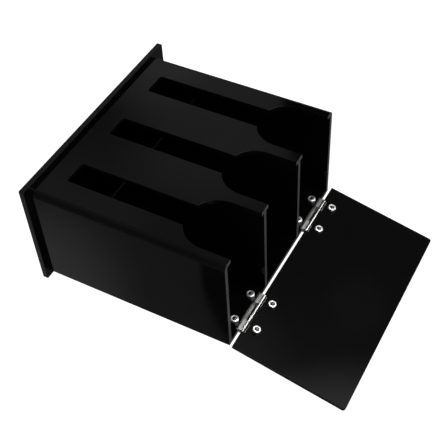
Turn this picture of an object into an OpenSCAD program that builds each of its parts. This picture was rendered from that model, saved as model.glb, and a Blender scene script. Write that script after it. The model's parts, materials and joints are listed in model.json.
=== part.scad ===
// Three-bay dispensing rack in black acrylic, lying with its keyhole face up.
// Origin: centre of the base flange's outer face. +X runs from the flange to the lid,
// +Y across the bays, +Z towards the keyhole face. Millimetres.

/* [Box] */
// Outside width of the box across the three bays
box_w = 200; // [180:1:240]
// Length of the box in front of the base flange
box_l = 179; // [150:1:240]
// Outside height of the box
box_h = 101; // [90:1:130]
// Thickness of every acrylic sheet except the flange
sheet_t = 4; // [3:0.5:5]
// Outside radius of the two heat-bent corners of the cover
bend_r = 5.5; // [5.2:0.1:9]

/* [Base flange] */
// Thickness of the base flange
flange_t = 5; // [4:0.5:8]
// How far the flange stands out past each side of the box
flange_side = 9; // [4:0.5:20]
// How far the flange stands out above the box
flange_top = 8; // [4:0.5:20]
// Corner radius of the flange
flange_corner_r = 1; // [0.5:0.5:4]

/* [Keyholes] */
// Distance between the centre lines of neighbouring bays
bay_pitch = 64; // [60:0.5:66]
// Width of the straight finger slot
slot_w = 22.6; // [18:0.2:26]
// Gap between the flange and the closed end of the slot
slot_start = 18; // [10:1:30]
// Corner radius at the closed end of the slot
slot_corner_r = 2; // [1:0.5:6]
// Width of the mouth that is open at the front edge
mouth_w = 52.8; // [44:0.2:56]
// Distance from the front edge to the centre of the mouth's round end
mouth_depth = 26.4; // [10:0.2:40]

/* [Lid] */
// Length of the lid from its hinged edge to its free edge
lid_l = 105; // [100:1:110]
// Width of the lid
lid_w = 203; // [200:1:216]
// Corner radius at the lid's free edge
lid_corner_r = 2.5; // [1:0.5:8]
// Angle of the lid below the plane of the back panel
lid_droop = 13.1; // [0:0.1:40]

/* [Hinges] */
// Distance from the middle of the rack to the middle of each hinge
hinge_y = 63; // [50:0.5:75]
// Length of a hinge along its pin
hinge_len = 42; // [36:1:60]
// Thickness of a hinge leaf
leaf_t = 1; // [0.8:0.1:1.6]
// Width of a hinge leaf from the pin's centre line
leaf_w = 14.5; // [13:0.5:20]
// Outside radius of the rolled knuckles
knuckle_r = 2.4; // [2.2:0.1:2.8]
// Radius of the hinge pin
pin_r = 1.2; // [1:0.1:1.4]
// Share of the hinge's length that its middle knuckle takes
middle_share = 0.47; // [0.3:0.01:0.6]
// Distance from the box's front edge to the hinge pin
pin_ahead = 3.1; // [2.8:0.1:5]

/* [Fasteners] */
// Distance from the pin's centre line to the screws of either leaf
screw_reach = 10; // [9.6:0.1:10.8]
// Distance between the two screws of one leaf
screw_pitch = 29.5; // [24:0.5:34]
// Outside radius of the screw thread
screw_r = 2; // [1.5:0.1:2]
// Width across the flats of a nut
nut_flats = 7; // [5.5:0.1:7]
// Height of a nut
nut_h = 3.2; // [2.4:0.1:3.2]

/* [Hidden] */
SIDES = ["left", "right"];
PLACES = ["inner", "outer"];
SHEETS = ["box", "lid"];

$fn = 96;
eps = 0.01;
acrylic = [0.05, 0.05, 0.055];
steel = [0.78, 0.78, 0.76];

flange_w = box_w + 2 * flange_side;
flange_h = box_h + flange_top;
base_z = -flange_h / 2;          // underside of the box
front_x = flange_t + box_l;      // front edge of the box
inner_w = box_w - 2 * sheet_t;
pin_x = front_x + pin_ahead;
pin_z = base_z - leaf_t + knuckle_r;
pin_clear = 0.05;                // radial clearance of the turning knuckle on the pin
knuckle_gap = 0.15;              // end gap between neighbouring knuckles
middle_len = hinge_len * middle_share;
lid_edge = -0.3;                 // hinged edge of the lid, measured from the pin
relief_gap = 0.35;               // gap between a knuckle and the sheet cut back around it
lid_relief = knuckle_r + relief_gap - lid_edge;
panel_relief = 2;                // depth of the cut-outs in the back panel's front edge
pin_head_h = 0.6;
relief_len = hinge_len + 2 * pin_head_h + 1;
head_r = 3.7;
head_h = 1.9;
screw_play = 0.15;
nut_corner_r = nut_flats / sqrt(3);
nut_chamfer = 0.55;
screw_tip = 0.9;                 // how far a screw stands out of its nut

function side_sign(s) = s == "left" ? -1 : 1;
function place_sign(p) = p == "inner" ? -1 : 1;

// ---- shared shapes ----

// Turns a sketch in X, Y and its extrusion so that it runs along +X
module along_x() {
    rotate([90, 0, 90]) children();
}

// A cylinder that lies along Y and is centred on the origin
module rod_y(r, len) {
    rotate([90, 0, 0]) cylinder(h = len, r = r, center = true);
}

// Rectangle with four exact round corners, centred on the origin
module round_rect(size, r) {
    union() {
        square([size[0] - 2 * r, size[1]], center = true);
        square([size[0], size[1] - 2 * r], center = true);
        for (i = [-1, 1], j = [-1, 1])
            translate([i * (size[0] / 2 - r), j * (size[1] / 2 - r)]) circle(r);
    }
}

// Outline of an upside-down U's outside: square feet and round shoulders
module shoulder_outline(w, h, r) {
    union() {
        translate([-w / 2, 0]) square([w, h - r]);
        translate([-w / 2 + r, 0]) square([w - 2 * r, h]);
        for (i = [-1, 1]) translate([i * (w / 2 - r), h - r]) circle(r);
    }
}

// Finger slot and mouth of one bay, drawn on the keyhole face
module keyhole(start_x, centre_x, end_x) {
    union() {
        translate([centre_x, 0]) circle(mouth_w / 2);
        translate([centre_x, -mouth_w / 2]) square([end_x - centre_x, mouth_w]);
        translate([(start_x + centre_x) / 2, 0])
            round_rect([centre_x - start_x, slot_w], slot_corner_r);
    }
}

// Moves a child drawn at the origin to both screws of one hinge leaf
module at_screws() {
    for (j = [-1, 1]) translate([0, j * screw_pitch / 2, 0]) children();
}

// Draws the lid's pieces as if the lid lay level, then lets it droop about the pins
module on_lid() {
    translate([pin_x, 0, pin_z]) rotate([0, lid_droop, 0]) children();
}

// Countersunk hole for one screw, with its mouth on the plane z = 0
module screw_hole(depth) {
    translate([0, 0, -eps]) cylinder(h = depth + 2 * eps, r = screw_r + screw_play);
    translate([0, 0, -eps])
        cylinder(h = head_h + eps, r1 = head_r + screw_play, r2 = screw_r + screw_play);
}

// ---- acrylic sheets ----

module base_flange() {
    color(acrylic)
        along_x() linear_extrude(flange_t) round_rect([flange_w, flange_h], flange_corner_r);
}

// One sheet bent into both sides and the keyhole face
module cover_shell() {
    color(acrylic) difference() {
        translate([flange_t, 0, base_z]) along_x() linear_extrude(box_l) difference() {
            shoulder_outline(box_w, box_h, bend_r);
            translate([0, -eps])
                shoulder_outline(inner_w, box_h - sheet_t + eps, bend_r - sheet_t);
        }
        for (i = [-1, 0, 1])
            translate([0, i * bay_pitch, base_z + box_h - sheet_t - 1])
                linear_extrude(sheet_t + 2)
                    keyhole(flange_t + slot_start, front_x - mouth_depth, front_x + 1);
    }
}

module back_panel() {
    color(acrylic) difference() {
        translate([flange_t, -inner_w / 2, base_z]) cube([box_l, inner_w, sheet_t]);
        for (s = SIDES) {
            translate([front_x - panel_relief, side_sign(s) * hinge_y - relief_len / 2,
                       base_z - 1])
                cube([panel_relief + 1, relief_len, sheet_t + 2]);
            translate([pin_x - screw_reach, side_sign(s) * hinge_y, base_z - leaf_t])
                at_screws() screw_hole(leaf_t + sheet_t);
        }
    }
}

module divider(s) {
    color(acrylic)
        translate([flange_t, side_sign(s) * bay_pitch / 2 - sheet_t / 2, base_z + sheet_t])
            cube([box_l, sheet_t, box_h - 2 * sheet_t]);
}

module lid_panel() {
    lid_mid = lid_edge + lid_l / 2;
    level_z = base_z - pin_z;
    color(acrylic) on_lid() difference() {
        translate([0, 0, level_z]) linear_extrude(sheet_t) union() {
            translate([lid_mid, 0]) round_rect([lid_l, lid_w], lid_corner_r);
            translate([lid_edge, -lid_w / 2]) square([lid_l / 2, lid_w]);
        }
        for (s = SIDES) {
            translate([lid_edge - 1, side_sign(s) * hinge_y - relief_len / 2, level_z - 1])
                cube([lid_relief + 1, relief_len, sheet_t + 2]);
            translate([screw_reach, side_sign(s) * hinge_y, level_z - leaf_t])
                at_screws() screw_hole(leaf_t + sheet_t);
        }
    }
}

// ---- hinges ----

// A leaf drawn level about the pin, reaching towards +X; knuckles lists [centre, length]
module leaf(knuckles, bore_r) {
    difference() {
        union() {
            translate([knuckle_r + relief_gap, -hinge_len / 2, -knuckle_r])
                cube([leaf_w - knuckle_r - relief_gap, hinge_len, leaf_t]);
            for (k = knuckles) translate([0, k[0], 0]) {
                translate([0, -k[1] / 2, -knuckle_r])
                    cube([knuckle_r + relief_gap + eps, k[1], leaf_t]);
                rod_y(knuckle_r, k[1]);
            }
        }
        for (k = knuckles) translate([0, k[0], 0]) rod_y(bore_r, k[1] + 1);
        translate([screw_reach, 0, -knuckle_r]) at_screws() screw_hole(leaf_t);
    }
}

// The fixed leaf holds the two end knuckles, which grip the pin
module box_leaf(s) {
    end_len = (hinge_len - middle_len) / 2 - knuckle_gap;
    end_mid = (hinge_len - end_len) / 2;
    color(steel) translate([pin_x, side_sign(s) * hinge_y, pin_z]) mirror([1, 0, 0])
        leaf([[-end_mid, end_len], [end_mid, end_len]], pin_r);
}

// The moving leaf holds the middle knuckle, which turns on the pin
module lid_leaf(s) {
    color(steel) on_lid() translate([0, side_sign(s) * hinge_y, 0])
        leaf([[0, middle_len]], pin_r + pin_clear);
}

module hinge_pin(s) {
    color(steel) translate([pin_x, side_sign(s) * hinge_y, pin_z]) {
        rod_y(pin_r, hinge_len);
        for (j = [-1, 1]) translate([0, j * (hinge_len + pin_head_h) / 2, 0])
            rod_y(knuckle_r * 0.8, pin_head_h);
    }
}

// ---- fasteners, drawn with the screw head's face on z = 0 and the thread along +Z ----

module screw() {
    union() {
        cylinder(h = head_h, r1 = head_r, r2 = screw_r);
        cylinder(h = leaf_t + sheet_t + nut_h + screw_tip, r = screw_r);
    }
}

module nut() {
    translate([0, 0, leaf_t + sheet_t]) difference() {
        intersection() {
            cylinder(h = nut_h, r = nut_corner_r, $fn = 6);
            union() {
                cylinder(h = nut_h - nut_chamfer, r = nut_corner_r + 1);
                translate([0, 0, nut_h - nut_chamfer])
                    cylinder(h = nut_chamfer, r1 = nut_corner_r, r2 = nut_corner_r - 2 * nut_chamfer);
            }
        }
        translate([0, 0, -eps]) cylinder(h = nut_h + 2 * eps, r = screw_r);
    }
}

module place_fastener(s, k, p) {
    y = side_sign(s) * hinge_y + place_sign(p) * side_sign(s) * screw_pitch / 2;
    color(steel) {
        if (k == "box")
            translate([pin_x - screw_reach, y, base_z - leaf_t]) children();
        else
            on_lid() translate([screw_reach, y, -knuckle_r]) children();
    }
}

// ---- nodes ----

base_flange();
cover_shell();
back_panel();
lid_panel();
for (s = SIDES) {
    divider(s);
    box_leaf(s);
    lid_leaf(s);
    hinge_pin(s);
    for (k = SHEETS, p = PLACES) {
        place_fastener(s, k, p) screw();
        place_fastener(s, k, p) nut();
    }
}
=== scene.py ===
"""Looks of the three-bay dispensing rack: black acrylic sheets, two steel hinges and their fasteners.

Metres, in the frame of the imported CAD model: +X runs from the flange to the lid, +Y across the
bays and +Z out of the keyhole face. "left" is the -Y side.
"""

import json
import math

import bmesh
import bpy
from mathutils import Matrix, Vector


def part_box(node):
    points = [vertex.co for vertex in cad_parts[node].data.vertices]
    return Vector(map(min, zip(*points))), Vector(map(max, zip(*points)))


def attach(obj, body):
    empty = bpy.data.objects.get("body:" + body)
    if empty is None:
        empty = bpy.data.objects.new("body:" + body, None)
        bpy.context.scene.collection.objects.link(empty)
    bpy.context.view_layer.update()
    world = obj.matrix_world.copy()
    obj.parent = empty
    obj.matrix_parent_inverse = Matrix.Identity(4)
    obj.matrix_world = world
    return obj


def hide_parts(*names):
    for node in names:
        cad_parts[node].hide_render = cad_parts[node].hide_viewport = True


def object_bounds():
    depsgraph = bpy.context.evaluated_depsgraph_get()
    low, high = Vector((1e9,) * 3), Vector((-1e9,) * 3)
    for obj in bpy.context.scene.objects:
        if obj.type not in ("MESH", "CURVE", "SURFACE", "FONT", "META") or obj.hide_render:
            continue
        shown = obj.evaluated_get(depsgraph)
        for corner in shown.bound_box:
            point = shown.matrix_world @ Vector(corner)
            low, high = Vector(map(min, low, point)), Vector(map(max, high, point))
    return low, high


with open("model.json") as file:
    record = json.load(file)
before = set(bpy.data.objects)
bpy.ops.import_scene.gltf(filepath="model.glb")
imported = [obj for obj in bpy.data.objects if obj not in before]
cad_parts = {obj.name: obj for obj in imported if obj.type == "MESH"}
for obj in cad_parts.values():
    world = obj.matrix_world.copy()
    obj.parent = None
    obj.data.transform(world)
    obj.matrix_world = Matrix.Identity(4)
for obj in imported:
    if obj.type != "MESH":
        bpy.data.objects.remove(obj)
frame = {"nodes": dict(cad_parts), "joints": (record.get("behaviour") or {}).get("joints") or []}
CAD_LO, CAD_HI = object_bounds()
MM = 0.001


def middle_of(node):
    """Middle of a CAD node's box."""
    lo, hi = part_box(node)
    return (lo + hi) / 2


# ---- what the frame says ----
HINGE = frame["joints"][0]
PIN = Vector(HINGE["pos_m"])
LID_DROOP = math.radians(90 + HINGE["range_deg"][0])   # at its lower limit the lid hangs straight down
PANEL_LO, PANEL_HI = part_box("back_panel")
FLANGE_LO, FLANGE_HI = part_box("base_flange")
LEAF_LO, LEAF_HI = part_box("left_hinge_box_leaf")
NUT_LO, NUT_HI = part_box("left_box_inner_nut")
FRONT_X = PANEL_HI.x
SHEET_T = PANEL_HI.z - PANEL_LO.z
LEAF_T = PANEL_LO.z - LEAF_LO.z
LEAF_W = PIN.x - LEAF_LO.x
HINGE_LEN = LEAF_HI.y - LEAF_LO.y
KNUCKLE_R = PIN.z - LEAF_LO.z
NUT_FLATS = NUT_HI.y - NUT_LO.y
NUT_H = NUT_HI.z - PANEL_HI.z
SCREW_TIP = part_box("left_box_inner_screw")[1].z - NUT_HI.z       # how far a screw stands out of its nut
SCREW_REACH = PIN.x - middle_of("left_box_inner_nut").x
SCREW_PITCH = abs(middle_of("left_box_inner_nut").y - middle_of("left_box_outer_nut").y)
HINGE_Y = abs(middle_of("left_hinge_pin").y)
PIN_HEAD_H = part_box("left_hinge_pin")[1].y - LEAF_HI.y
PIN_HEAD_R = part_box("left_hinge_pin")[1].z - PIN.z

# ---- sizes of the visible detail ----
WELD = 0.002 * MM              # corners closer than this are one corner
SAME_PLANE = math.radians(0.5)     # faces that turn by less than this are one flat face
SHEET_BEVEL = 0.35 * MM
LEAF_BEVEL = 0.15 * MM
LEAF_CORNER_R = 1.2 * MM
MIDDLE_SHARE = 0.47            # share of the hinge's length that its middle knuckle takes
KNUCKLE_GAP = 0.15 * MM
PLATE_START = KNUCKLE_R + 0.35 * MM
PLATE_OVERLAP = 0.6 * MM
BORE_RUNOUT = 0.5 * MM         # past the pin's middle, where the bore meets the top of the plate
ROLL_END = -388                # the roll turns from -90 degrees, over the pin, to 28 below +X
TAB_LEN = 3.8 * MM             # flat end of the box leaf's outer rolls
PIN_R = 1.2 * MM
PIN_SLACK = 0.05 * MM
RUBBED_X = (0.3 * MM, 1.0 * MM)    # from the pin to here a knuckle fades from rubbed to brushed
RUBBED_DULL = 0.14
THREAD_R = 1.95 * MM
THREAD_ROOT = 1.6 * MM
THREAD_PITCH = 0.7 * MM
THREAD_ROWS = 8                # rows of corners in one turn of the thread
CREST_CUT = 1.25               # over 1, which cuts the thread's crests flat
HOLE_R = 2.15 * MM
HEAD_R = 3.7 * MM
HEAD_H = 1.9 * MM
HEAD_ROUND = 0.12 * MM
RECESS_TOP = (4.0 * MM, 0.99 * MM)      # length and width of each arm of the cross recess's cutter
RECESS_FLOOR = (1.4 * MM, 0.63 * MM)
RECESS_H = 1.7 * MM
RECESS_LEAD = 0.45 * MM        # the cutter starts this far outside the head
TIP_CHAMFER = 0.8 * MM
NUT_BORE = 2.0 * MM
NUT_LEAD = 0.25 * MM
NUT_CHAMFER = 0.55 * MM
NUT_SEAT = 0.15 * MM
NUT_CORNER_R = 3.75 * MM       # the nut's corners are rounded off at this radius

# the metal and the acrylic are each lit by lamps of their own
METAL = bpy.data.collections.new("metal_pieces")
ACRYLIC = bpy.data.collections.new("acrylic_pieces")


# ---- mesh helpers ----

def new_object(name, mesh, body, nodes, materials):
    """Links a finished mesh as a piece that rides on a body and stands for CAD nodes."""
    for material in materials:
        mesh.materials.append(material)
    piece = bpy.data.objects.new(name, mesh)
    bpy.context.scene.collection.objects.link(piece)
    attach(piece, body)
    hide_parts(*nodes)
    return piece


def apply_modifiers(piece):
    """Turns the piece's modifiers into plain mesh."""
    graph = bpy.context.evaluated_depsgraph_get()
    shaped = bpy.data.meshes.new_from_object(piece.evaluated_get(graph))
    piece.modifiers.clear()
    piece.data = shaped


def finished(piece, width):
    """Rounds every sharp edge and keeps the flat faces flat in the shading."""
    for face in piece.data.polygons:
        face.use_smooth = True
    rounding = piece.modifiers.new("rounding", "BEVEL")
    rounding.width = width
    rounding.segments = 3
    rounding.limit_method = "ANGLE"
    rounding.angle_limit = math.radians(30)
    rounding.use_clamp_overlap = True
    slivers = piece.modifiers.new("slivers", "WELD")
    slivers.merge_threshold = WELD
    weighting = piece.modifiers.new("weighting", "WEIGHTED_NORMAL")
    weighting.mode = "FACE_AREA"
    weighting.weight = 100
    apply_modifiers(piece)
    return piece


def clean_copy(node):
    """The CAD node's mesh with its shared corners welded and its flat faces made whole."""
    shape = bmesh.new()
    shape.from_mesh(frame["nodes"][node].data)
    bmesh.ops.remove_doubles(shape, verts=shape.verts, dist=1e-6)
    bmesh.ops.dissolve_limit(
        shape, angle_limit=SAME_PLANE, verts=shape.verts, edges=shape.edges, delimit={"NORMAL"})
    shape.verts.index_update()
    mesh = bpy.data.meshes.new(node)
    mesh.from_pydata([v.co[:] for v in shape.verts], [], [[v.index for v in f.verts] for f in shape.faces])
    shape.free()
    return mesh


def mesh_of(name, shape):
    """Turns a bmesh into a mesh, with its faces turned outwards if it is closed."""
    bmesh.ops.remove_doubles(shape, verts=shape.verts, dist=1e-8)
    bmesh.ops.recalc_face_normals(shape, faces=shape.faces)
    mesh = bpy.data.meshes.new(name)
    shape.to_mesh(mesh)
    shape.free()
    return mesh


def moved(mesh, matrix):
    """A moved copy of a mesh."""
    mesh = mesh.copy()
    mesh.transform(matrix)
    return mesh


def solid_of(base, *steps):
    """Cuts or joins meshes: steps are (operation, mesh) pairs."""
    scratch = bpy.data.objects.new("scratch", base)
    bpy.context.scene.collection.objects.link(scratch)
    tools = []
    for operation, mesh in steps:
        tool = bpy.data.objects.new("tool", mesh)
        bpy.context.scene.collection.objects.link(tool)
        tools.append(tool)
        change = scratch.modifiers.new("change", "BOOLEAN")
        change.operation = operation
        change.solver = "EXACT"
        change.object = tool
    apply_modifiers(scratch)
    result = scratch.data
    for item in [scratch, *tools]:
        bpy.data.objects.remove(item)
    # the solver leaves slivers, which would hold back the rounding of the edges
    shape = bmesh.new()
    shape.from_mesh(result)
    bmesh.ops.remove_doubles(shape, verts=shape.verts, dist=WELD)
    bmesh.ops.dissolve_limit(shape, angle_limit=SAME_PLANE, verts=shape.verts, edges=shape.edges)
    shape.to_mesh(result)
    shape.free()
    return result


# ---- material helpers ----

class Shader:
    """A node material under construction, in the piece's own coordinates."""

    def __init__(self, name):
        self.material = bpy.data.materials.new(name)
        self.material.use_nodes = True
        self.tree = self.material.node_tree
        self.bsdf = self.tree.nodes["Principled BSDF"]
        self.place = self.tree.nodes.new("ShaderNodeTexCoord").outputs["Object"]

    def set(self, **values):
        """Sets constants on the shader itself."""
        for name, value in values.items():
            self.bsdf.inputs[name.replace("_", " ")].default_value = value

    def link(self, source, target):
        self.tree.links.new(source, target)

    def noise(self, scale, stretch=(1, 1, 1), detail=3, roughness=0.55):
        """Noise between 0 and 1; scale is in features per metre."""
        mapping = self.tree.nodes.new("ShaderNodeMapping")
        mapping.inputs["Scale"].default_value = stretch
        self.link(self.place, mapping.inputs["Vector"])
        noise = self.tree.nodes.new("ShaderNodeTexNoise")
        noise.inputs["Scale"].default_value = scale
        noise.inputs["Detail"].default_value = detail
        noise.inputs["Roughness"].default_value = roughness
        self.link(mapping.outputs["Vector"], noise.inputs["Vector"])
        return noise.outputs["Fac"]

    def specks(self, scale, size):
        """Small round spots: 1 inside, 0 outside."""
        cells = self.tree.nodes.new("ShaderNodeTexVoronoi")
        cells.inputs["Scale"].default_value = scale
        self.link(self.place, cells.inputs["Vector"])
        return self.remap(cells.outputs["Distance"], size, size * 0.4, 0, 1)

    def remap(self, source, from_min, from_max, to_min, to_max):
        """Takes one range smoothly to another, and stops at its ends."""
        node = self.tree.nodes.new("ShaderNodeMapRange")
        node.interpolation_type = "SMOOTHSTEP"
        for name, value in zip(("From Min", "From Max", "To Min", "To Max"),
                               (from_min, from_max, to_min, to_max)):
            node.inputs[name].default_value = value
        self.link(source, node.inputs["Value"])
        return node.outputs["Result"]

    def math(self, operation, first, second):
        """Works on two values, each a socket or a number."""
        node = self.tree.nodes.new("ShaderNodeMath")
        node.operation = operation
        for socket, value in zip(node.inputs, (first, second)):
            if isinstance(value, (int, float)):
                socket.default_value = value
            else:
                self.link(value, socket)
        return node.outputs["Value"]

    def colours(self, fac, *stops):
        """A ramp from (position, colour) stops."""
        ramp = self.tree.nodes.new("ShaderNodeValToRGB")
        elements = ramp.color_ramp.elements
        while len(elements) < len(stops):
            elements.new(0.5)
        for element, (position, colour) in zip(elements, stops):
            element.position = position
            element.color = (*colour, 1)
        self.link(fac, ramp.inputs["Fac"])
        self.link(ramp.outputs["Color"], self.bsdf.inputs["Base Color"])

    def bump(self, *layers):
        """Stacks (height, distance in metres) layers and feeds the shader's normal."""
        normal = None
        for height, distance in layers:
            node = self.tree.nodes.new("ShaderNodeBump")
            node.inputs["Strength"].default_value = 1
            node.inputs["Distance"].default_value = distance
            self.link(height, node.inputs["Height"])
            if normal is not None:
                self.link(normal, node.inputs["Normal"])
            normal = node.outputs["Normal"]
        self.link(normal, self.bsdf.inputs["Normal"])


def polished_acrylic():
    """Cast black acrylic: deep gloss, a slight sheet waviness, handling smears and hairlines."""
    s = Shader("polished_acrylic")
    s.set(IOR=1.49, Specular_IOR_Level=0.25)
    smear = s.noise(26, (1, 0.7, 1), 4, 0.6)
    hairline = s.noise(40, (6, 60, 60), 2, 0.5)
    speck = s.specks(420, 0.16)
    s.colours(s.noise(14, detail=2), (0.3, (0.0009, 0.0009, 0.0010)), (0.75, (0.0021, 0.0021, 0.0023)))
    gloss = s.remap(smear, 0.35, 0.75, 0.03, 0.08)
    gloss = s.math("ADD", gloss, s.remap(hairline, 0.62, 0.8, 0, 0.05))
    gloss = s.math("ADD", gloss, s.math("MULTIPLY", speck, 0.1))
    s.link(gloss, s.bsdf.inputs["Roughness"])
    s.bump((s.noise(9, detail=1), 0.0002), (hairline, 0.000002), (speck, 0.000006))
    return s.material


def edge_acrylic(name, low, high, dull):
    """Edge of the same sheet, greyer than its faces, with fine cutter marks across its thickness."""
    s = Shader(name)
    s.set(IOR=1.49, Specular_IOR_Level=0.2)
    marks = s.noise(60, (14, 14, 14), 3, 0.6)
    s.colours(marks, (0.3, (low, low, low * 1.03)), (0.7, (high, high, high * 1.03)))
    s.link(s.remap(marks, 0.3, 0.7, dull - 0.08, dull + 0.08), s.bsdf.inputs["Roughness"])
    s.bump((marks, 0.00002))
    return s.material


def hinge_steel(name, dull):
    """Pressed stainless leaf: brushed along the hinge, and rubbed bright where its knuckles turn over."""
    s = Shader(name)
    s.set(Metallic=1.0)
    brushed = s.noise(90, (24, 1, 24), 3, 0.6)
    patch = s.noise(60, detail=3)
    s.colours(patch, (0.3, (0.62, 0.62, 0.61)), (0.72, (0.80, 0.80, 0.78)))
    split = s.tree.nodes.new("ShaderNodeSeparateXYZ")
    s.link(s.place, split.inputs[0])
    rubbed = s.remap(split.outputs["X"], *RUBBED_X, RUBBED_DULL, dull)
    smear = s.remap(s.math("ADD", patch, brushed), 0.8, 1.3, -0.03, 0.06)
    s.link(s.math("ADD", rubbed, smear), s.bsdf.inputs["Roughness"])
    s.bump((brushed, 0.000008))
    return s.material


def plating(name, low, high, dull):
    """Plated steel with fine turning marks and dull patches."""
    s = Shader(name)
    s.set(Metallic=1.0)
    patch = s.noise(140, detail=3)
    marks = s.noise(300, (1, 1, 10), 2)
    s.colours(patch, (0.25, (low, low, low * 0.99)), (0.7, (high, high, high * 0.985)))
    worn = s.remap(patch, 0.3, 0.7, dull - 0.06, dull + 0.06)
    turned = s.remap(marks, 0.45, 0.8, 0, 0.08)
    s.link(s.math("ADD", worn, turned), s.bsdf.inputs["Roughness"])
    s.bump((marks, 0.000008))
    return s.material


POLISHED = polished_acrylic()
SAWN = edge_acrylic("sawn_acrylic", 0.032, 0.063, 0.43)
# the flange's and the lid's rims: buffed glossier than the sawn edges, and given a darker colour, which is
# painted shade that offsets the stronger light these rims catch
BUFFED_AND_SHADED = edge_acrylic("buffed_and_shaded_acrylic", 0.004, 0.010, 0.26)     # rims of the flange and the lid
BOX_STEEL = hinge_steel("brushed_steel", 0.36)
LID_STEEL = hinge_steel("rubbed_steel", 0.2)       # the lid's knuckle has polished itself by turning
PIN_STEEL = plating("pin_steel", 0.5, 0.72, 0.2)
NUT_PLATING = plating("nut_plating", 0.8, 0.95, 0.45)
SCREW_PLATING = plating("screw_plating", 0.45, 0.65, 0.14)


# ---- acrylic sheets ----

SLOT_ZONE = (FLANGE_HI.x + 1 * MM, FRONT_X - 1 * MM)       # the cover's slots are inside, its ends outside
X_AXIS, Y_AXIS, Z_AXIS = Vector((1, 0, 0)), Vector((0, 1, 0)), Vector((0, 0, 1))
LID_NORMAL = Matrix.Rotation(LID_DROOP, 3, "Y") @ Z_AXIS


def is_cut_edge(face, thin_axis, ends_only):
    """True on the saw-cut rim of a flat sheet, or on the end faces only of a bent one."""
    if ends_only:
        return abs(face.normal.x) > 0.5 and not SLOT_ZONE[0] < face.center.x < SLOT_ZONE[1]
    return abs(face.normal.dot(thin_axis)) < 0.5


def sheet(node, body, thin_axis, edge, ends_only=False):
    """One acrylic sheet, taken from its CAD node, with polished faces and duller cut edges."""
    mesh = clean_copy(node)
    for face in mesh.polygons:
        face.material_index = 1 if is_cut_edge(face, thin_axis, ends_only) else 0
    piece = new_object(node + "_sheet", mesh, body, [node], [POLISHED, edge])
    ACRYLIC.objects.link(piece)
    return finished(piece, SHEET_BEVEL)


def leave_unmirrored(flange):
    """Keeps the flange out of the walls' gloss, where the photo shows no mirror image of its rim. A black
    flag inside its thickness still closes the back of the bays to the reflections inside them."""
    flange.visible_glossy = False
    cover_lo, cover_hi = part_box("cover_shell")
    half = SHEET_T / 2
    depth = (FLANGE_LO.x + FLANGE_HI.x) / 2
    sides = (cover_lo.y + half, cover_hi.y - half)
    levels = (PANEL_LO.z + half, cover_hi.z - half)
    shape = bmesh.new()
    corners = [(sides[0], levels[0]), (sides[1], levels[0]), (sides[1], levels[1]), (sides[0], levels[1])]
    shape.faces.new([shape.verts.new((depth, y, z)) for y, z in corners])
    mesh = mesh_of("bay_flag", shape)
    mesh.materials.append(POLISHED)
    flag = bpy.data.objects.new("bay_flag", mesh)
    bpy.context.scene.collection.objects.link(flag)
    flag.visible_camera = False
    flag.visible_diffuse = False
    flag.visible_shadow = False


leave_unmirrored(sheet("base_flange", "rack", X_AXIS, BUFFED_AND_SHADED))
sheet("cover_shell", "rack", Z_AXIS, SAWN, ends_only=True)
sheet("back_panel", "rack", Z_AXIS, SAWN)
sheet("left_divider", "rack", Y_AXIS, SAWN)
sheet("right_divider", "rack", Y_AXIS, SAWN)
sheet("lid_panel", "lid", LID_NORMAL, BUFFED_AND_SHADED)


# ---- metal pieces, drawn about the pin: the leaf reaches towards +X and the sheet lies above it ----

def revolved(name, outline, columns=48, ring=False):
    """Turns outline(angle), a list of (radius, height), about Z. A ring's outline closes on itself,
    and any other outline starts and ends on the axis."""
    shape = bmesh.new()
    grid = []
    for column in range(columns):
        angle = 2 * math.pi * column / columns
        along, across = math.cos(angle), math.sin(angle)
        grid.append([shape.verts.new((r * along, r * across, z)) for r, z in outline(angle)])
    for here, there in zip(grid, grid[1:] + grid[:1]):
        for i in range(len(here) if ring else len(here) - 1):
            j = (i + 1) % len(here)
            shape.faces.new((here[i], there[i], there[j], here[j]))
    return mesh_of(name, shape)


def extruded(name, outline, start, end):
    """Closed outline of (x, z) points, extruded along Y."""
    shape = bmesh.new()
    near = [shape.verts.new((x, start, z)) for x, z in outline]
    far = [shape.verts.new((x, end, z)) for x, z in outline]
    shape.faces.new(near)
    shape.faces.new(far[::-1])
    for i, j in zip(range(len(outline)), [*range(1, len(outline)), 0]):
        shape.faces.new((near[i], near[j], far[j], far[i]))
    return mesh_of(name, shape)


def arc(radius, start, end, steps, middle=(0, 0)):
    """Points (x, z) on an arc, angles in degrees from +X towards +Z."""
    angles = [math.radians(start + (end - start) * i / steps) for i in range(steps + 1)]
    return [(middle[0] + radius * math.cos(a), middle[1] + radius * math.sin(a)) for a in angles]


def knuckle_outline(bore_r, tab):
    """Leaf metal rolled round the pin: flat under the sheet, up and over, and back down to a seam.
    With a tab, the roll stops on top and its end lies flat, pointing back over the plate."""
    plate_top = LEAF_T - KNUCKLE_R
    start = [(PLATE_START + PLATE_OVERLAP, plate_top), (PLATE_START + PLATE_OVERLAP, -KNUCKLE_R)]
    end = [(BORE_RUNOUT, plate_top)]
    if tab:
        return (start + arc(KNUCKLE_R, -90, -270, 28) + [(TAB_LEN, KNUCKLE_R), (TAB_LEN, bore_r)]
                + arc(bore_r, -270, -90, 24) + end)
    tip_r = (KNUCKLE_R - bore_r) / 2
    tip_middle = arc((KNUCKLE_R + bore_r) / 2, ROLL_END, ROLL_END, 1)[0]
    return (start + arc(KNUCKLE_R, -90, ROLL_END, 40)
            + arc(tip_r, ROLL_END, ROLL_END - 180, 6, tip_middle)[1:-1]
            + arc(bore_r, ROLL_END, -90, 34) + end)


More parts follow.
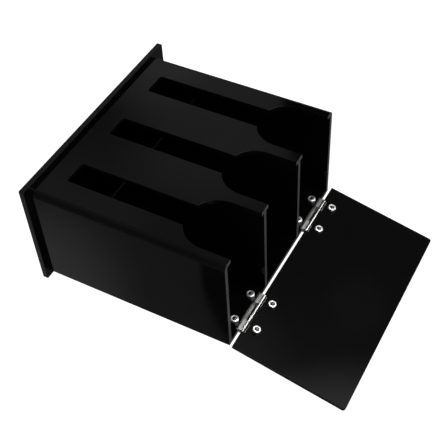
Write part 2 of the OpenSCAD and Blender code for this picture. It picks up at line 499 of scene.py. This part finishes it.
def leaf_mesh(name, knuckles, bore_r, tab):
    """A stamped leaf with its rolled knuckles and two countersunk holes."""
    corners = []
    for side, first in ((-1, -90), (1, 0)):
        middle = (LEAF_W - LEAF_CORNER_R, side * (HINGE_LEN / 2 - LEAF_CORNER_R))
        corners += arc(LEAF_CORNER_R, first, first + 90, 6, middle)
    outline = [(PLATE_START, -HINGE_LEN / 2)] + corners + [(PLATE_START, HINGE_LEN / 2)]
    plate = extruded(name, outline, -KNUCKLE_R, LEAF_T - KNUCKLE_R)
    # the plate was drawn upright: trading Y for Z lays it down, and turns its faces inside out
    plate.transform(Matrix(((1, 0, 0, 0), (0, 0, 1, 0), (0, 1, 0, 0), (0, 0, 0, 1))))
    plate.flip_normals()
    rolled = knuckle_outline(bore_r, tab)
    steps = [("UNION", extruded("knuckle", rolled, middle - length / 2, middle + length / 2))
             for middle, length in knuckles]
    sink = revolved("sink", lambda angle: [
        (0, -MM), (HOLE_R + HEAD_R - THREAD_R, -MM), (HOLE_R + HEAD_R - THREAD_R, 0),
        (HOLE_R, HEAD_H), (HOLE_R, 2 * HEAD_H), (0, 2 * HEAD_H)])
    for side in (-1, 1):
        place = Matrix.Translation((SCREW_REACH, side * SCREW_PITCH / 2, -KNUCKLE_R))
        steps.append(("DIFFERENCE", moved(sink, place)))
    return solid_of(plate, *steps)


def pin_mesh():
    """A plain pin with a shallow dome riveted at each end."""
    end = HINGE_LEN / 2
    dome = arc(1, 0, 90, 5)

    def outline(angle):
        half = [(PIN_R, end)] + [(PIN_HEAD_R * c ** 0.5 if c > 1e-6 else 0, end + PIN_HEAD_H * z)
                                 for c, z in dome]
        return [(r, -z) for r, z in reversed(half)] + half

    mesh = revolved("hinge_pin", outline, 32)
    mesh.transform(Matrix.Rotation(math.pi / 2, 4, "X"))
    return mesh


def thread_radius(angle, height):
    """Radius of the helical thread at one point, with flattened crests."""
    phase = (height / THREAD_PITCH - angle / (2 * math.pi)) % 1
    ridge = min(1, CREST_CUT * (1 - abs(2 * phase - 1)))
    return THREAD_ROOT + (THREAD_R - THREAD_ROOT) * ridge


def arm_corners(length, width):
    """Corners (x, y) of one arm of the cross recess."""
    return [(i * length / 2, j * width / 2) for i, j in ((-1, -1), (1, -1), (1, 1), (-1, 1))]


def screw_mesh():
    """Countersunk machine screw: head face on z = 0, cross recess, thread and a flat chamfered end."""
    shank_end = LEAF_T + SHEET_T
    tip = shank_end + NUT_H + SCREW_TIP
    rows = round((tip - shank_end) / (THREAD_PITCH / THREAD_ROWS))

    def outline(angle):
        points = [(0, 0), (HEAD_R - HEAD_ROUND, 0), (HEAD_R, HEAD_ROUND), (THREAD_R, HEAD_H),
                  (THREAD_R, shank_end)]
        for row in range(1, rows):
            z = shank_end + (tip - shank_end) * row / rows
            points.append((min(thread_radius(angle, z), THREAD_R - TIP_CHAMFER + tip - z), z))
        return points + [(THREAD_R - TIP_CHAMFER, tip), (0, tip)]

    recess = []
    for turn in (0, math.pi / 2):
        arm = bmesh.new()
        top = [arm.verts.new((x, y, -RECESS_LEAD)) for x, y in arm_corners(*RECESS_TOP)]
        low = [arm.verts.new((x, y, RECESS_H)) for x, y in arm_corners(*RECESS_FLOOR)]
        arm.faces.new(top)
        arm.faces.new(low[::-1])
        for i in range(4):
            arm.faces.new((top[i], top[(i + 1) % 4], low[(i + 1) % 4], low[i]))
        recess.append(("DIFFERENCE", moved(mesh_of("arm", arm), Matrix.Rotation(turn, 4, "Z"))))
    return solid_of(revolved("screw", outline, 36), *recess)


def nut_mesh():
    """Hexagon nut with its corners turned down to a cone, and a countersunk bore."""
    flat_r = NUT_FLATS / math.sqrt(3) - 2 * NUT_CHAMFER

    def outline(angle):
        from_flat = (angle + math.pi / 6) % (math.pi / 3) - math.pi / 6
        hexagon = min(NUT_CORNER_R, NUT_FLATS / 2 / math.cos(abs(from_flat) - math.pi / 6))
        drop = (hexagon - flat_r) / 2
        return [(NUT_BORE, NUT_LEAD), (NUT_BORE + NUT_LEAD, 0), (flat_r + NUT_CHAMFER, 0),
                (hexagon, NUT_SEAT), (hexagon, NUT_H - drop), (flat_r, NUT_H),
                (NUT_BORE + NUT_LEAD, NUT_H), (NUT_BORE, NUT_H - NUT_LEAD)]

    return moved(revolved("nut", outline, 72, ring=True), Matrix.Translation((0, 0, LEAF_T + SHEET_T)))


def place_metal(name, mesh, body, material, matrix, width):
    """A copy of a metal piece's mesh, with its edges rounded to a width, for one CAD node."""
    piece = new_object(name + "_piece", mesh.copy(), body, [name], [material])
    METAL.objects.link(piece)
    finished(piece, width)
    piece.matrix_world = matrix


END_LEN = (HINGE_LEN - HINGE_LEN * MIDDLE_SHARE) / 2 - KNUCKLE_GAP
END_MIDDLE = (HINGE_LEN - END_LEN) / 2
BOX_LEAF = leaf_mesh("box_leaf", [(-END_MIDDLE, END_LEN), (END_MIDDLE, END_LEN)], PIN_R + PIN_SLACK, True)
LID_LEAF = leaf_mesh("lid_leaf", [(0, HINGE_LEN * MIDDLE_SHARE)], PIN_R + PIN_SLACK, False)
LEAVES = (("box", BOX_LEAF, "rack", BOX_STEEL), ("lid", LID_LEAF, "lid", LID_STEEL))
HINGE_PIN = pin_mesh()
SCREW = screw_mesh()
NUT = nut_mesh()

for side_name, side in (("left", -1), ("right", 1)):
    at_pin = Matrix.Translation((PIN.x, side * HINGE_Y, PIN.z))
    on_sheet = {"box": at_pin @ Matrix.Rotation(math.pi, 4, "Z"),
                "lid": at_pin @ Matrix.Rotation(LID_DROOP, 4, "Y")}
    place_metal(f"{side_name}_hinge_pin", HINGE_PIN, "rack", PIN_STEEL, at_pin, 0.05 * MM)
    for sheet_name, leaf, body, steel in LEAVES:
        place_metal(f"{side_name}_hinge_{sheet_name}_leaf", leaf, body, steel,
                    on_sheet[sheet_name], LEAF_BEVEL)
        for place_name, place in (("inner", -1), ("outer", 1)):
            offset = side * place * SCREW_PITCH / 2 * (-1 if sheet_name == "box" else 1)
            at_screw = on_sheet[sheet_name] @ Matrix.Translation((SCREW_REACH, offset, -KNUCKLE_R))
            start = f"{side_name}_{sheet_name}_{place_name}"
            place_metal(f"{start}_screw", SCREW, body, SCREW_PLATING, at_screw, 0.03 * MM)
            place_metal(f"{start}_nut", NUT, body, NUT_PLATING, at_screw, 0.12 * MM)


# ---- studio ----

CENTRE = (CAD_LO + CAD_HI) / 2
CAMERA_AZIMUTH = math.radians(30.9)
CAMERA_ELEVATION = math.radians(47.7)
CAMERA_ROLL = math.radians(-3.57)
CAMERA_DISTANCE = 0.7996
CAMERA_AIM = CENTRE + Vector((-11.6, -12.06, -3.99)) * MM
LENS = 73.5

COVE_R = 2.0
COVE_BEND = 0.5
COVE_STEPS = 8
COVE_H = 1.6
FLOOR_GAP = 5 * MM

ROOM_GREY = 0.11
# soft cards (positive gain) and dark flags (negative) round the table, and what mirrors each:
# azimuth, elevation, radius of the full part, radius where it has faded out (degrees), gain
CARDS = [
    (100, 60, 40, 75, 0.10),       # broad ceiling light beyond the box, in the keyhole face and the lid
    (121.5, 41, 1, 7, 0.16),       # far half of the keyhole face
    (126, 36, 1, 5, 0.18),         # its far corner by the flange
    (130.5, 40.5, 1, 5, -0.10),    # dark flag along its edge at the flange
    (134, 45, 1, 6, 0.08),         # its near corner by the flange
    (105, 40, 7.4, 8.4, -0.35),    # dark flag in the walls of the far bay
    (78, 47, 4.5, 11, -0.09),      # dims the lid away from its near corner
    (58, 40, 7, 12, -0.20),        # dark flag that keeps the knuckles' tops black
    (72.4, 52.6, 0.5, 2.4, 0.08),  # faint patch in the lid's outer half
    (55, 60, 5, 9.3, 1.00),        # lamp glow seen in the lid's outer near corner
    (80, 68, 6, 12, 0.30),         # the lid's near corner by its hinge
    (-141.5, -50.5, 1, 8, 0.25),   # white table seen in the near wall
    (-113.6, -50.8, 5.9, 6.4, -0.20),      # dark lens shape in the near wall's front end
]
# what it lights, azimuth, elevation, distance, size in metres, radiance
SOFTBOXES = {
    "overhead_softbox": (METAL, 85, 70, 1.6, (0.34, 0.34), 16),
    "front_softbox": (METAL, 10, 62, 1.6, (0.36, 0.36), 34),
    "broad_softbox": (ACRYLIC, 10, 62, 1.6, (1.0, 1.0), 3.2),
    "low_softbox": (METAL, 44, 33, 1.6, (0.25, 0.5), 6.5),
}


def camera():
    """The photo's camera, as a perspective fit to the photo found it."""
    data = bpy.data.cameras.new("camera")
    data.lens = LENS
    data.sensor_width = 36
    data.clip_start = 0.01
    data.clip_end = 50
    eye = bpy.data.objects.new("camera", data)
    bpy.context.scene.collection.objects.link(eye)
    back = Vector((math.sin(CAMERA_AZIMUTH) * math.cos(CAMERA_ELEVATION),
                   -math.cos(CAMERA_AZIMUTH) * math.cos(CAMERA_ELEVATION),
                   math.sin(CAMERA_ELEVATION)))
    turn = (-back).to_track_quat("-Z", "Y").to_matrix().to_4x4()
    eye.matrix_world = (Matrix.Translation(CAMERA_AIM + back * CAMERA_DISTANCE) @ turn
                        @ Matrix.Rotation(CAMERA_ROLL, 4, "Z"))
    bpy.context.scene.camera = eye


def cove():
    """A white infinity cove, shadowless as in the photo. Its floor is below the reach of the hanging lid."""
    lid_lo, lid_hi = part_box("lid_panel")
    reach = math.hypot(lid_hi.x - PIN.x, lid_lo.z - PIN.z)
    profile = [(0, 0), (COVE_R, 0)]
    for step in range(1, COVE_STEPS + 1):
        turn = math.pi / 2 * step / COVE_STEPS
        profile.append((COVE_R + COVE_BEND * math.sin(turn), COVE_BEND * (1 - math.cos(turn))))
    profile.append((COVE_R + COVE_BEND, COVE_H))
    shape = bmesh.new()
    chain = [shape.verts.new((r, 0, z)) for r, z in profile]
    edges = [shape.edges.new(pair) for pair in zip(chain, chain[1:])]
    bmesh.ops.spin(shape, geom=chain + edges, axis=(0, 0, 1), angle=2 * math.pi, steps=96,
                   use_merge=True, use_duplicate=False)
    mesh = mesh_of("cove", shape)
    for face in mesh.polygons:
        face.use_smooth = True
    piece = bpy.data.objects.new("cove", mesh)
    bpy.context.scene.collection.objects.link(piece)
    piece.location = (0, 0, PIN.z - reach - FLOOR_GAP)
    s = Shader("cove_white")
    s.set(Base_Color=(0.3, 0.3, 0.3, 1), Roughness=0.9, Specular_IOR_Level=0.0,
          Emission_Color=(1, 1, 1, 1), Emission_Strength=0.98)
    mesh.materials.append(s.material)
    piece.visible_glossy = False
    piece.visible_shadow = False


def compass(azimuth, elevation):
    """Unit vector at an azimuth from +X towards +Y and an elevation above the XY plane, in degrees."""
    a, e = math.radians(azimuth), math.radians(elevation)
    return Vector((math.cos(a) * math.cos(e), math.sin(a) * math.cos(e), math.sin(e)))


def surroundings():
    """The dim studio that the gloss reflects: a grey room with soft cards and dark flags in it."""
    world = bpy.data.worlds.new("studio")
    world.use_nodes = True
    bpy.context.scene.world = world
    tree = world.node_tree
    direction = tree.nodes.new("ShaderNodeTexCoord").outputs["Generated"]
    total = tree.nodes.new("ShaderNodeValue").outputs["Value"]
    total.default_value = ROOM_GREY
    for azimuth, elevation, inner, outer, gain in CARDS:
        towards = tree.nodes.new("ShaderNodeVectorMath")
        towards.operation = "DOT_PRODUCT"
        towards.inputs[1].default_value = compass(azimuth, elevation)
        tree.links.new(direction, towards.inputs[0])
        card = tree.nodes.new("ShaderNodeMapRange")
        card.interpolation_type = "SMOOTHSTEP"
        card.inputs["From Min"].default_value = math.cos(math.radians(outer))
        card.inputs["From Max"].default_value = math.cos(math.radians(inner))
        card.inputs["To Max"].default_value = gain
        tree.links.new(towards.outputs["Value"], card.inputs["Value"])
        added = tree.nodes.new("ShaderNodeMath")
        added.operation = "ADD"
        tree.links.new(card.outputs["Result"], added.inputs[0])
        tree.links.new(total, added.inputs[1])
        total = added.outputs["Value"]
    not_below_black = tree.nodes.new("ShaderNodeMath")
    not_below_black.operation = "MAXIMUM"
    not_below_black.inputs[1].default_value = 0
    tree.links.new(total, not_below_black.inputs[0])
    tree.links.new(not_below_black.outputs["Value"], tree.nodes["Background"].inputs["Color"])


def softbox(name, receivers, azimuth, elevation, distance, size, radiance):
    """A rectangular lamp that faces the rack and lights only the pieces in one collection."""
    data = bpy.data.lights.new(name, "AREA")
    data.shape = "RECTANGLE"
    data.size, data.size_y = size
    data.energy = radiance * math.pi * size[0] * size[1]
    lamp = bpy.data.objects.new(name, data)
    bpy.context.scene.collection.objects.link(lamp)
    away = compass(azimuth, elevation)
    lamp.matrix_world = (Matrix.Translation(CENTRE + away * distance)
                         @ (-away).to_track_quat("-Z", "Y").to_matrix().to_4x4())
    lamp.light_linking.receiver_collection = receivers


camera()
cove()
surroundings()
for lamp_name, settings in SOFTBOXES.items():
    softbox(lamp_name, *settings)

bpy.context.scene.view_settings.view_transform = "Standard"
bpy.context.scene.view_settings.look = "None"
